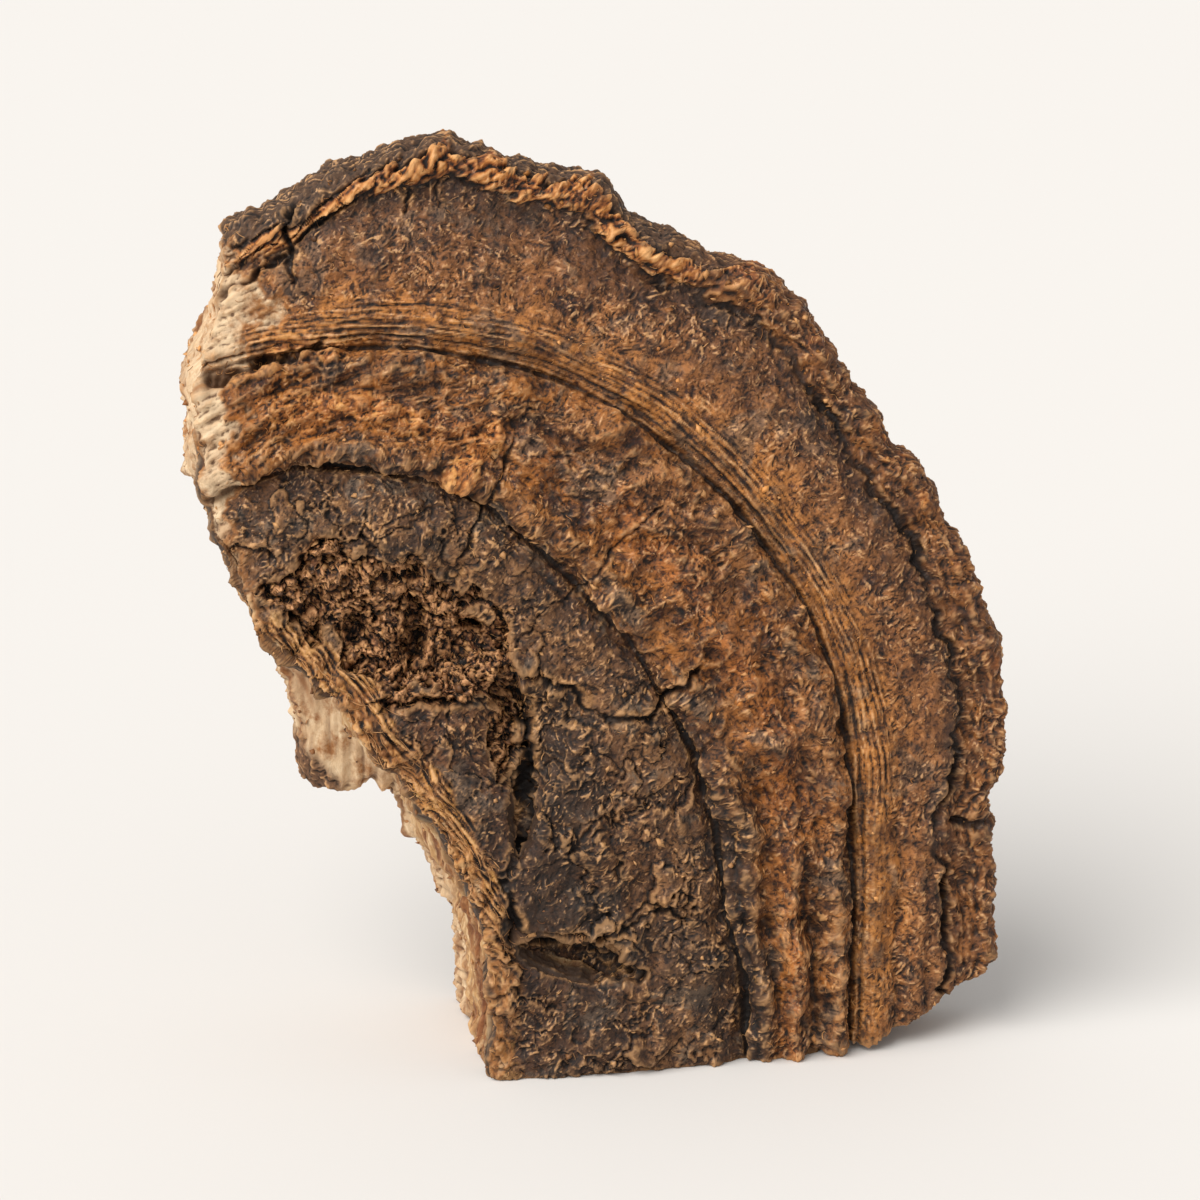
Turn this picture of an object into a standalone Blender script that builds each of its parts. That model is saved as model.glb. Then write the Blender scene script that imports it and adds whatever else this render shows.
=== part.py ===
"""A dried bracket fungus that stands on the flat cut where it grew out of a trunk.

The bracket is one solid. Its zoned upper surface faces -Y, its pore surface +Y, and the cut lies on Z = 0
around the origin. It grew outward from a growth centre low on its left side, so its furrows are rings round
that centre which run straight down to the cut. Its left side is broken off.
"""

import math

import bmesh
import bpy
import numpy as np
from mathutils import Matrix, Vector, noise

# Driving dimensions, in metres
CENTRE_X = -0.060  # the growth centre, from the middle of the cut
CENTRE_Z = 0.0487
RADIUS = 0.130  # growth centre to margin, before the margin's own outline
FRONT_AT_CENTRE = 0.023  # from the middle plane to the upper surface, at the growth centre
FRONT_AT_MARGIN = 0.0075
BACK_AT_CENTRE = 0.022  # from the middle plane to the pore surface
BACK_AT_MARGIN = 0.0060
LEAN = math.radians(5.0)  # of the middle plane, backwards
STRAIGHT_RUN = 3.0  # how much longer the rings are drawn below the growth centre

# The furrows between years of growth: distance from the growth centre, half width, depth, and how much higher
# the upper surface stands outside the furrow
INNER_FURROW = 0.068
OUTER_FURROW = 0.096
FURROWS = [
    (INNER_FURROW, 0.0022, 0.0024, 0.0012),
    (OUTER_FURROW, 0.0022, 0.0016, 0.0000),
    (0.1215, 0.0030, 0.0014, 0.0006),
]
STEP_FADE = 5  # half widths over which the step sinks back

# Where the inner furrow and the margin really run: degrees from +X towards +Z, and distance from the centre
INNER_RING = [
    (-180, 0.0765), (-14, 0.0765), (-8, 0.0739), (-5, 0.0700), (5, 0.0652), (26, 0.0632), (45, 0.0624),
    (63, 0.0660), (71, 0.0696), (87, 0.0720), (98, 0.0750), (112, 0.0734), (180, 0.0765),
]  # fmt: skip
MARGIN = [
    (-180, 0.1255), (-4.4, 0.1263), (-3.1, 0.1250), (-2.2, 0.1262), (-0.7, 0.1218), (1.5, 0.1268),
    (9.7, 0.1296), (28, 0.1290), (32, 0.1283), (35.6, 0.1260), (39, 0.1283), (43, 0.1283), (47, 0.1316),
    (55, 0.1322), (59, 0.1291), (62.7, 0.1278), (66.5, 0.1305), (70, 0.1333), (76, 0.1318), (82, 0.1349),
    (87, 0.1318), (90, 0.1298), (94, 0.1260), (96, 0.1225), (99, 0.1218), (104, 0.1180), (180, 0.1220),
]  # fmt: skip

# Where the bark-like crust has crumbled off the upper surface: X, Z, half width, half height, depth. The
# surface comes back up from full depth between HOLLOW_FLOOR and HOLLOW_EDGE of those half sizes
HOLLOWS = [
    (-0.052, 0.0917, 0.029, 0.013, 0.0035),
    (-0.031, 0.0687, 0.010, 0.013, 0.0040),
]
HOLLOW_FLOOR, HOLLOW_EDGE = 0.5, 1.15
# Deep holes under lifted crust: X, Z, half width, half height, depth, turn in degrees
POCKETS = [
    (-0.0200, 0.0230, 0.0135, 0.0046, 0.0090, 20),
    (-0.0305, 0.0590, 0.0032, 0.0160, 0.0060, 4),
]

# The underside, as X and Z from left to right: the flat cut, then the corner that it leaves rounded
FOOT = [
    (-0.300, 0.0), (0.026, 0.0), (0.0385, 0.0024), (0.047, 0.0045), (0.055, 0.0085), (0.0615, 0.0120),
    (0.067, 0.0200), (0.300, 0.0300),
]  # fmt: skip

# The broken side, from above the margin down past the cut: X and Z of its front edge, then of its back edge
BREAK = [
    (-0.0820, 0.1917, -0.0850, 0.1917),
    (-0.0845, 0.1571, -0.0870, 0.1557),
    (-0.0882, 0.1472, -0.0922, 0.1427),
    (-0.0898, 0.1367, -0.0985, 0.1327),
    (-0.0894, 0.1274, -0.0962, 0.1232),
    (-0.0884, 0.1182, -0.0985, 0.1142),
    (-0.0889, 0.1120, -0.0885, 0.1077),
    (-0.0857, 0.1033, -0.0860, 0.0977),
    (-0.0804, 0.0908, -0.0815, 0.0857),
    (-0.0723, 0.0857, -0.0775, 0.0767),
    (-0.0624, 0.0782, -0.0715, 0.0692),
    (-0.0585, 0.0685, -0.0665, 0.0607),
    (-0.0504, 0.0608, -0.0615, 0.0517),
    (-0.0442, 0.0505, -0.0565, 0.0437),
    (-0.0405, 0.0424, -0.0545, 0.0347),
    (-0.0367, 0.0349, -0.0490, 0.0257),
    (-0.0353, 0.0237, -0.0440, 0.0167),
    (-0.0360, 0.0077, -0.0430, 0.0047),
    (-0.0360, -0.0333, -0.0430, -0.0333),
]
LEDGE_REACH = 0.0155  # how far the tube layer is left hanging out of the broken side
LEDGE_TOP, LEDGE_TIP, LEDGE_END = 0.085, 0.053, 0.047  # heights on the break: its start, longest part and end
LEDGE_WAY = (-0.9, -0.45)  # the way it points, in X and Z
LEDGE_DEPTH, LEDGE_EDGE = 0.62, 0.06  # where it starts and how sharply, as shares of the way through
BREAK_ROUGHNESS = 0.0014
BREAK_LUMPS = 0.011

LIP = 0.965  # the share of the radius where the margin starts to turn over
RINGS = 38  # edge loops from the growth centre to the margin
SPOKES = 156
MARGIN_STEPS = 7
UNDULATION, UNDULATION_SIZE = 0.0011, 0.030  # how far both surfaces sway, and over what length
POCKET_ROUGHNESS = 0.25  # as a share of a pocket's size
CUTTER_REACH = 0.450  # further than the whole turned shape


def clear_scene():
    for obj in list(bpy.data.objects):
        bpy.data.objects.remove(obj)


def collection(name):
    made = bpy.data.collections.new(name)
    bpy.context.scene.collection.children.link(made)
    return made


def fungus_material():
    made = bpy.data.materials.new("dried_crust")
    made.use_nodes = True
    shader = made.node_tree.nodes["Principled BSDF"]
    shader.inputs["Base Color"].default_value = (0.105, 0.058, 0.032, 1.0)
    shader.inputs["Roughness"].default_value = 0.85
    shader.inputs["Metallic"].default_value = 0.0
    return made


def smooth(value):
    """0 below 0, 1 above 1, and a smooth rise between."""
    held = min(max(value, 0.0), 1.0)
    return held * held * (3 - 2 * held)


def upper_surface(radius):
    """How far the upper surface stands in front of the middle plane."""
    share = radius / RADIUS
    height = FRONT_AT_CENTRE - (FRONT_AT_CENTRE - FRONT_AT_MARGIN) * share**1.7
    for at, half, depth, step in FURROWS:
        height -= depth * math.exp(-(((radius - at) / half) ** 2))
        height += step * smooth((radius - at) / half) * smooth(1 + (at + half - radius) / (STEP_FADE * half))
    return height


def pore_surface(radius):
    """How far the pore surface lies behind the middle plane."""
    share = radius / RADIUS
    return BACK_AT_CENTRE - (BACK_AT_CENTRE - BACK_AT_MARGIN) * share**1.5


def section():
    """The half section, as radius and Y: the upper surface, round the margin, and back over the pores."""
    lip = LIP * RADIUS
    radii = set(np.linspace(0, lip, RINGS))
    radii.update(at + side * half for at, half, *_ in FURROWS for side in (-1, 0, 1))
    radii = sorted(radii)
    front = [(radius, -upper_surface(radius)) for radius in radii]
    back = [(radius, pore_surface(radius)) for radius in np.linspace(lip, 0, RINGS // 2)]
    top, bottom = front[-1][1], back[0][1]
    margin = []
    for step in range(1, MARGIN_STEPS):
        turn = math.pi * step / MARGIN_STEPS
        bulge = lip + (RADIUS - lip) * math.sin(turn)
        margin.append((bulge, (top + bottom) / 2 + (top - bottom) / 2 * math.cos(turn)))
    return front + margin + back


def ring_radius(radius, angle):
    """Where a ring of the turned shape really runs, as a distance from the growth centre."""
    inner, margin = (float(np.interp(math.degrees(angle), *zip(*ring))) for ring in (INNER_RING, MARGIN))
    return float(np.interp(radius, (0, INNER_FURROW, OUTER_FURROW, RADIUS), (0, inner, OUTER_FURROW, margin)))


def sunken(x, z):
    """How far the upper surface has broken away at a place."""
    found = 0.0
    for at_x, at_z, half_x, half_z, depth in HOLLOWS:
        off = math.hypot((x - at_x) / half_x, (z - at_z) / half_z)
        found = max(found, depth * smooth((HOLLOW_EDGE - off) / (HOLLOW_EDGE - HOLLOW_FLOOR)))
    return found


def grown(place):
    """Moves a point of the turned shape to where the bracket grew."""
    x, y, z = place
    radius, angle = math.hypot(x, z), math.atan2(z, x)
    grown_radius = ring_radius(radius, angle)
    x, z = grown_radius * math.cos(angle), grown_radius * math.sin(angle)
    if z < 0:
        z *= STRAIGHT_RUN
    x, z = CENTRE_X + x, CENTRE_Z + z
    if y < 0:
        y += sunken(x, z)
    sway = noise.noise(Vector((x, 0.0, z)) / UNDULATION_SIZE)
    return x, y + UNDULATION * sway + math.tan(LEAN) * z, z


def turned_bracket(parts):
    """The section turned all the way round the growth centre, then moved to where it grew."""
    outline = bpy.data.meshes.new("section")
    points = [(radius, y, 0.0) for radius, y in section()]
    outline.from_pydata(points, [(i, i + 1) for i in range(len(points) - 1)], [])
    guide = bpy.data.objects.new("section", outline)
    bpy.context.scene.collection.objects.link(guide)
    screw = guide.modifiers.new("turn", "SCREW")
    screw.axis = "Y"
    screw.steps = screw.render_steps = SPOKES
    screw.use_merge_vertices = True
    screw.merge_threshold = 0.0001
    graph = bpy.context.evaluated_depsgraph_get()
    turned = bpy.data.meshes.new_from_object(guide.evaluated_get(graph))
    bpy.data.objects.remove(guide)

    shape = bmesh.new()
    shape.from_mesh(turned)
    bmesh.ops.remove_doubles(shape, verts=shape.verts, dist=0.00001)
    for vert in shape.verts:
        vert.co = grown(vert.co)
    bmesh.ops.recalc_face_normals(shape, faces=shape.faces)
    shape.to_mesh(turned)
    shape.free()

    turned.name = "bracket"
    turned.materials.append(fungus_material())
    turned.shade_smooth()
    turned.set_sharp_from_angle(angle=math.radians(40))
    bracket = bpy.data.objects.new("bracket", turned)
    parts.objects.link(bracket)
    return bracket


def helper(name, shape, cutters):
    """A closed cutter that isn't part of the fungus."""
    bmesh.ops.recalc_face_normals(shape, faces=shape.faces)
    mesh = bpy.data.meshes.new(name)
    shape.to_mesh(mesh)
    shape.free()
    made = bpy.data.objects.new(name, mesh)
    made.hide_render = True
    made.display_type = "WIRE"
    cutters.objects.link(made)
    return made


def foot_cutter(cutters):
    """All that lies below the underside, where the bracket was cut off its trunk."""
    shape = bmesh.new()
    outline = FOOT + [(FOOT[-1][0], -CUTTER_REACH), (FOOT[0][0], -CUTTER_REACH)]
    face = shape.faces.new([shape.verts.new((x, -CUTTER_REACH, z)) for x, z in outline])
    swept = bmesh.ops.extrude_face_region(shape, geom=[face])
    for vert in [item for item in swept["geom"] if isinstance(item, bmesh.types.BMVert)]:
        vert.co.y = CUTTER_REACH
    return helper("foot_cutter", shape, cutters)


def pocket_cutter(index, cutters):
    """A rough hole into the upper surface."""
    at_x, at_z, half_x, half_z, depth, turn = POCKETS[index]
    radius = math.hypot(at_x - CENTRE_X, at_z - CENTRE_Z)
    middle = Vector((at_x, math.tan(LEAN) * at_z - upper_surface(radius), at_z))
    shape = bmesh.new()
    bmesh.ops.create_icosphere(shape, subdivisions=2, radius=1.0)
    turned = Matrix.Rotation(math.radians(turn), 3, "Y")
    for vert in shape.verts:
        rough = 1 + POCKET_ROUGHNESS * noise.noise(2 * vert.co + Vector((index, 0, 0)))
        reach = Vector((vert.co.x * half_x, vert.co.y * depth, vert.co.z * half_z))
        vert.co = middle + turned @ reach * rough
    return helper(f"pocket_cutter_{index}", shape, cutters)


def break_place(along, through):
    """A point of the broken side: along its length, and through the thickness from front to back."""
    stations = np.linspace(0, 1, len(BREAK))
    front_x, front_z, back_x, back_z = (np.interp(along, stations, column) for column in zip(*BREAK))
    x = front_x + (back_x - front_x) * through
    z = front_z + (back_z - front_z) * through
    hanging = min((LEDGE_TOP - z) / (LEDGE_TOP - LEDGE_TIP), (z - LEDGE_END) / (LEDGE_TIP - LEDGE_END), 1.0)
    ledge = LEDGE_REACH * max(hanging, 0.0) * smooth((through - LEDGE_DEPTH) / LEDGE_EDGE)
    x += LEDGE_WAY[0] * ledge
    z += LEDGE_WAY[1] * ledge
    rough = noise.noise(Vector((x / BREAK_LUMPS, through * 3, z / BREAK_LUMPS)))
    return x + BREAK_ROUGHNESS * rough, z + 0.5 * BREAK_ROUGHNESS * rough


def break_cutter(cutters):
    """All that has broken off beyond the left side."""
    along_steps, through_steps = 60, 18
    front_y, back_y = -0.032, 0.038
    shape = bmesh.new()
    bmesh.ops.create_grid(shape, x_segments=along_steps, y_segments=through_steps, size=0.5)
    for vert in shape.verts:
        along, through = vert.co.x + 0.5, vert.co.y + 0.5
        x, z = break_place(along, through)
        vert.co = (x, front_y + (back_y - front_y) * through + math.tan(LEAN) * z, z)
    swept = bmesh.ops.extrude_face_region(shape, geom=shape.faces[:])
    outer = [item for item in swept["geom"] if isinstance(item, bmesh.types.BMVert)]
    for vert in outer:
        vert.co.x = -CUTTER_REACH
    return helper("break_cutter", shape, cutters)


def cut(piece, cutter):
    boolean = piece.modifiers.new(cutter.name, "BOOLEAN")
    boolean.operation = "DIFFERENCE"
    boolean.solver = "EXACT"
    boolean.object = cutter


def main():
    clear_scene()
    parts = collection("dried_bracket_fungus")
    cutters = collection("cutters")
    bracket = turned_bracket(parts)
    cut(bracket, foot_cutter(cutters))
    cut(bracket, break_cutter(cutters))
    for index in range(len(POCKETS)):
        cut(bracket, pocket_cutter(index, cutters))


main()
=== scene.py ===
"""The looks of the dried bracket fungus: ringed crust, frilled rim, broken side, pores and loose fibres.

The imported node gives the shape. A fine copy of it is carved by functions of where each point grew: its ring,
which is the distance from the growth centre, and its place along that ring. Lengths are in metres.
"""

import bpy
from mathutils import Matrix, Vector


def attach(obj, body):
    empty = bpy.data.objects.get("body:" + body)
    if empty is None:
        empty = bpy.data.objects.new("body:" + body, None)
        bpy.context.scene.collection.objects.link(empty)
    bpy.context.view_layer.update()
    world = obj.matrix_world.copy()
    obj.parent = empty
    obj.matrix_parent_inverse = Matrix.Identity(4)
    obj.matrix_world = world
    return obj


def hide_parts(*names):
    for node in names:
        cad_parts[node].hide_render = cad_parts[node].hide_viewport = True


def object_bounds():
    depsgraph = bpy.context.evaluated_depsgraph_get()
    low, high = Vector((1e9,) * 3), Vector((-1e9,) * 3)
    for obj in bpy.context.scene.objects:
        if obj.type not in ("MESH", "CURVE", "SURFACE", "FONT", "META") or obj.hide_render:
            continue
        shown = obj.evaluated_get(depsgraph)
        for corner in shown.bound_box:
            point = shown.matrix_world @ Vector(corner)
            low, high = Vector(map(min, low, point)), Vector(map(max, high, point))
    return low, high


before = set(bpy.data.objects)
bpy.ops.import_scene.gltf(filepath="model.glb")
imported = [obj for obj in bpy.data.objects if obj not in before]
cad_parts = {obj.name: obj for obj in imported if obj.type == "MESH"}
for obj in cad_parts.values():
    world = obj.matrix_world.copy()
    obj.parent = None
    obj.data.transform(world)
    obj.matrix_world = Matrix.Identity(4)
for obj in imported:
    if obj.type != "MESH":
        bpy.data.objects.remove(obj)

import copy
import itertools
import math
from concurrent.futures import ThreadPoolExecutor

import bpy
import numpy as np
from mathutils import Vector
from mathutils.bvhtree import BVHTree

CAD_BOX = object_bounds()
SEED = 11

# How it grew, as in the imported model
CENTRE_X, CENTRE_Z = -0.060, 0.0487  # the growth centre
RADIUS = 0.130
LEAN = math.tan(math.radians(5.0))  # of the middle plane, backwards
STRAIGHT_RUN = 3.0  # how much longer the rings are drawn below the growth centre
INNER_FURROW, OUTER_FURROW = 0.068, 0.096
INNER_RING = [
    (-180, 0.0765), (-14, 0.0765), (-8, 0.0739), (-5, 0.0700), (5, 0.0652), (26, 0.0632), (45, 0.0624),
    (63, 0.0660), (71, 0.0696), (87, 0.0720), (98, 0.0750), (112, 0.0734), (180, 0.0765),
]  # fmt: skip
MARGIN = [
    (-180, 0.1255), (-4.4, 0.1263), (-3.1, 0.1250), (-2.2, 0.1262), (-0.7, 0.1218), (1.5, 0.1268),
    (9.7, 0.1296), (28, 0.1290), (32, 0.1283), (35.6, 0.1260), (39, 0.1283), (43, 0.1283), (47, 0.1316),
    (55, 0.1322), (59, 0.1291), (62.7, 0.1278), (66.5, 0.1305), (70, 0.1333), (76, 0.1318), (82, 0.1349),
    (87, 0.1318), (90, 0.1298), (94, 0.1260), (96, 0.1225), (99, 0.1218), (104, 0.1180), (180, 0.1220),
]  # fmt: skip

# The broken side's front edge, as X and Z
BREAK_LINE = [
    (-0.0845, 0.1650), (-0.0882, 0.1472), (-0.0898, 0.1367), (-0.0884, 0.1182), (-0.0889, 0.1120),
    (-0.0804, 0.0908), (-0.0624, 0.0782), (-0.0585, 0.0685), (-0.0504, 0.0608), (-0.0405, 0.0424),
    (-0.0353, 0.0237), (-0.0360, 0.0000),
]  # fmt: skip
BREAK_WIDTH = 0.020  # of the band round that line where in-plane faces are broken flesh
TUBES_FROM = 0.004  # behind the middle plane, where the flesh gives way to tubes

# Ridges of the upper surface: ring, half width, height
RIDGES = [
    (0.0220, 0.0060, 0.0008), (0.0450, 0.0050, 0.0008), (0.0590, 0.0045, 0.0009), (0.0728, 0.0024, 0.0020),
    (0.0820, 0.0026, 0.0010), (0.0915, 0.0024, 0.0014), (0.1005, 0.0028, 0.0011), (0.1140, 0.0050, 0.0006),
]  # fmt: skip
# Grooves of the upper surface, with painted shade in them: ring, half width, depth, how far they swing from
# the true ring, and the least share of the depth
GROOVES = [
    (0.0681, 0.00060, 0.0022, 0.0009, 0.5), (0.0782, 0.00060, 0.0003, 0.0020, 0.0),
    (0.0872, 0.00060, 0.0005, 0.0018, 0.0), (0.0956, 0.00055, 0.0020, 0.0006, 0.75),
    (0.0979, 0.00040, 0.0008, 0.0006, 0.1),
]  # fmt: skip
# Furrows between the columns near the cut: ring and depth
COLUMN_FURROWS = [
    (0.0705, 0.0012), (0.0770, 0.0011), (0.0860, 0.0013), (0.1070, 0.0011), (0.1130, 0.0009),
]  # fmt: skip
COLUMNS_BELOW, COLUMNS_FULLY = 0.020, -0.012  # places along the ring where they start and where they are full
COLUMNS_OUTSIDE = 0.080  # the ring outside which ridges grow higher there
# The frill's inner edge: place along the ring, ring
FRILL_EDGE = [
    (-0.040, 0.1180), (-0.005, 0.1165), (0.006, 0.1175), (0.017, 0.1188), (0.050, 0.1195), (0.096, 0.1220),
    (0.125, 0.1212), (0.150, 0.1232), (0.165, 0.1245), (0.190, 0.1235), (0.205, 0.1195),
]  # fmt: skip
# How deep the groove inside the frill is
FRILL_GROOVE = [
    (-0.040, 0.0026), (0.000, 0.0034), (0.020, 0.0018), (0.060, 0.0020), (0.110, 0.0013), (0.160, 0.0006),
    (0.200, 0.0016),
]  # fmt: skip
# The golden ribbon on the frill: its ring low down, its width, and the places along the ring between which it
# moves in to the frill's edge
RIBBON_FROM, RIBBON_WIDTH = 0.1258, 0.0044
RIBBON_AT_EDGE, RIBBON_AT_TOP = 0.105, 0.150
LAMINAE = (0.0960, 0.1045)  # the rings between which the crust is in thin layers, seen edge on
LAMINA = 0.00135  # from one layer to the next
# Golden fibrous places of the crust: X and Z from end to end, then half the width
GILDED = [
    ([(-0.0870, 0.1415), (-0.0800, 0.1425), (-0.0720, 0.1440), (-0.0650, 0.1455)], 0.0028),
    ([(-0.0750, 0.1325), (-0.0680, 0.1340), (-0.0590, 0.1345), (-0.0520, 0.1300)], 0.0030),
    ([(-0.0830, 0.1540), (-0.0790, 0.1600)], 0.0022),
    ([(-0.0420, 0.1205), (-0.0350, 0.1270)], 0.0030),
]  # fmt: skip
# Places by the deepest cracks and the hollow painted dark as shade: X and Z from end to end, then half the
# width
PAINTED_FISSURE_SHADE = [
    ([(-0.0270, 0.0780), (-0.0230, 0.0650), (-0.0250, 0.0500), (-0.0280, 0.0400)], 0.0075),
    ([(-0.0338, 0.0370), (-0.0200, 0.0300), (-0.0020, 0.0260), (0.0060, 0.0180)], 0.0080),
    ([(-0.0720, 0.1070), (-0.0600, 0.1080), (-0.0480, 0.1050)], 0.0030),
]  # fmt: skip
# How far the crust has flaked off the broken side's front: height, distance from the break
FLAKED_OFF = [
    (0.000, 0.0005), (0.090, 0.0008), (0.106, 0.0015), (0.118, 0.0045), (0.130, 0.0055), (0.142, 0.0070),
    (0.151, 0.0100), (0.156, 0.0060), (0.162, 0.0010),
]  # fmt: skip

# Cracks in the crust, as X and Z from end to end, with their half width and depth
CRACKS = [
    ([(-0.0433, 0.1008), (-0.0416, 0.1045), (-0.0397, 0.1082), (-0.0370, 0.1139)], 0.0004, 0.0014),
    ([(-0.0364, 0.1145), (-0.0334, 0.1203), (-0.0320, 0.1258), (-0.0277, 0.1321)], 0.0003, 0.0010),
    ([(-0.0026, 0.1124), (-0.0101, 0.1069), (-0.0172, 0.0988), (-0.0266, 0.0923), (-0.0286, 0.0886)],
     0.0003, 0.0009),
    ([(-0.0275, 0.0819), (-0.0201, 0.0764), (-0.0138, 0.0715), (-0.0054, 0.0710), (-0.0024, 0.0753),
      (0.0041, 0.0800)], 0.0006, 0.0020),
    ([(-0.0301, 0.0770), (-0.0290, 0.0650), (-0.0304, 0.0553), (-0.0291, 0.0506), (-0.0338, 0.0420)],
     0.0010, 0.0034),
    ([(-0.0510, 0.0772), (-0.0420, 0.0760), (-0.0301, 0.0770)], 0.0005, 0.0014),
    ([(-0.0338, 0.0400), (-0.0326, 0.0286), (-0.0229, 0.0253), (-0.0080, 0.0199)], 0.0010, 0.0030),
    ([(-0.0130, 0.0290), (-0.0020, 0.0330), (0.0060, 0.0290)], 0.0004, 0.0012),
    ([(-0.0600, 0.1160), (-0.0603, 0.1110), (-0.0590, 0.1060)], 0.0003, 0.0009),
    ([(-0.0660, 0.1150), (-0.0650, 0.1100)], 0.0003, 0.0008),
    ([(-0.0508, 0.1695), (-0.0500, 0.1735)], 0.0003, 0.0010),
    ([(-0.0448, 0.1700), (-0.0443, 0.1745)], 0.0003, 0.0010),
    ([(-0.0725, 0.1570), (-0.0735, 0.1650), (-0.0725, 0.1730)], 0.0006, 0.0022),
    ([(-0.0900, 0.1520), (-0.0830, 0.1560), (-0.0740, 0.1610)], 0.0006, 0.0020),
    ([(-0.0890, 0.1385), (-0.0820, 0.1405), (-0.0740, 0.1425), (-0.0680, 0.1450)], 0.0008, 0.0026),
    ([(0.0560, 0.0450), (0.0600, 0.0445), (0.0650, 0.0440)], 0.0008, 0.0024),
]  # fmt: skip
# Below this height the crust beside the break is frayed into fibres that run this way
FRAYED_BELOW, FRAYED_WAY = 0.098, (0.045, 0.0, -0.067)
THROUGH = (0.0, 1.0, 0.0)  # the way through the thickness
# Where the crust has crumbled off: the hollow's outline and two lesser ones, as X and Z
HOLLOW = [
    (-0.0824, 0.0990), (-0.0760, 0.1035), (-0.0718, 0.1072), (-0.0668, 0.1077), (-0.0593, 0.1044),
    (-0.0514, 0.1042), (-0.0446, 0.0993), (-0.0399, 0.0979), (-0.0336, 0.0926), (-0.0312, 0.0862),
    (-0.0260, 0.0800), (-0.0290, 0.0700), (-0.0300, 0.0560), (-0.0350, 0.0600), (-0.0360, 0.0740),
    (-0.0403, 0.0774), (-0.0560, 0.0740), (-0.0640, 0.0800),
]  # fmt: skip
BOTTOM_GAP = [
    (-0.0330, 0.0290), (-0.0229, 0.0262), (-0.0080, 0.0210), (-0.0131, 0.0290), (-0.0261, 0.0305),
]  # fmt: skip
# Deep holes among the crumbled flesh: X, Z, half width, half height, depth
HOLES = [
    (-0.0510, 0.0890, 0.0022, 0.0060, 0.0035), (-0.0705, 0.1045, 0.0050, 0.0016, 0.0030),
    (-0.0535, 0.1015, 0.0045, 0.0018, 0.0030), (-0.0400, 0.0925, 0.0030, 0.0030, 0.0025),
    (-0.0330, 0.0780, 0.0026, 0.0050, 0.0030), (-0.0620, 0.0905, 0.0020, 0.0025, 0.0022),
    (-0.0300, 0.0640, 0.0018, 0.0060, 0.0025), (-0.0200, 0.0250, 0.0100, 0.0018, 0.0040),
]  # fmt: skip

# Mesh sizes
COARSE_VOXEL = 0.0009
FINE_VOXEL = 0.00031
SETTLING_ROUNDS = 10  # of smoothing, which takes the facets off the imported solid
CAVITY_REACH, HOLLOW_REACH = 0.0008, 0.0020  # round each point, to find how deep it lies
BROKEN_TRIANGLES, UNDERSIDE_TRIANGLES = 80000, 100000
# The pieces of the skin, each with the ring where it starts
CRUST_PIECES = [("inner_crust", 0.0), ("middle_crust", 0.0690), ("outer_crust", 0.0945), ("margin", 0.1150)]

# Loose matter
FIBRE_POINTS = 6
FIBRES = 4000
CRUMBS = 4000
CHUNK = 20000  # points worked on together

# Light and camera, in degrees and metres
WORLD_LIGHT = 0.58
SUN_LIGHT, SUN_SPREAD, TOWARDS_SUN = 3.15, 52.0, (-0.62, -0.48, 0.80)
AZIMUTH, ELEVATION, DISTANCE = -5.0, 18.0, 0.90
SEEN = 0.236  # the frame's height at the bracket


def smooth(value):
    """0 below 0, 1 above 1, and a smooth rise between."""
    held = np.clip(value, 0.0, 1.0)
    return held * held * (3 - 2 * held)


def hump(value, middle, half):
    """1 at the middle, falling away over the half width."""
    return np.exp(-(((value - middle) / half) ** 2))


def band(value, start, end, edge):
    """1 between start and end, with soft edges."""
    return smooth((value - start) / edge + 0.5) * smooth((end - value) / edge + 0.5)


def along_list(value, pairs):
    """Reads a list of pairs as a line through them."""
    return np.interp(value, *zip(*pairs))


def unit(vectors):
    return vectors / np.maximum(np.linalg.norm(vectors, axis=1), 1e-12)[:, None]


CHANCE = np.random.default_rng(SEED)
SHUFFLE = np.tile(CHANCE.permutation(256), 2)
SLOPES = unit(CHANCE.normal(size=(256, 3)))
WORKERS = ThreadPoolExecutor()


def in_chunks(work, points):
    """What the work gives for the points, done in parts side by side."""
    parts = np.array_split(points, max(1, len(points) // CHUNK))
    return np.concatenate(list(WORKERS.map(work, parts)))


def noise(points):
    """Smooth gradient noise at each point, about -1 to 1, with features one unit across."""
    return in_chunks(noise_of_part, points)


def noise_of_part(points):
    cell = np.floor(points).astype(np.int64)
    part = points - cell
    fade = part**3 * (part * (part * 6 - 15) + 10)
    shares = (1 - fade, fade)
    cell &= 255
    total = np.zeros(len(points))
    for x, y, z in itertools.product((0, 1), repeat=3):
        key = SHUFFLE[SHUFFLE[SHUFFLE[cell[:, 0] + x] + cell[:, 1] + y] + ((cell[:, 2] + z) & 255)]
        slope = SLOPES[key]
        weight = shares[x][:, 0] * shares[y][:, 1] * shares[z][:, 2]
        off = part - (x, y, z)
        rise = off[:, 0] * slope[:, 0] + off[:, 1] * slope[:, 1] + off[:, 2] * slope[:, 2]
        total += weight * rise
    return total * 1.7


def fractal(points, octaves):
    """Noise with finer and weaker noise added to it."""
    return sum(noise(points * 2.03**step + 7.3 * step) * 0.5**step for step in range(octaves))


def creased(points):
    """Noise folded into thin raised lines: 1 on a line, towards 0 away from it."""
    return 1 - np.minimum(np.abs(noise(points)) * 2.5, 1)


def lumps(points):
    """Space broken into one lump to a unit. For each point: how far in from its lump's edge it is, its lump's
    own number, and its height on the lump's own slope.
    """
    return in_chunks(lumps_of_part, points).T


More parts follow.
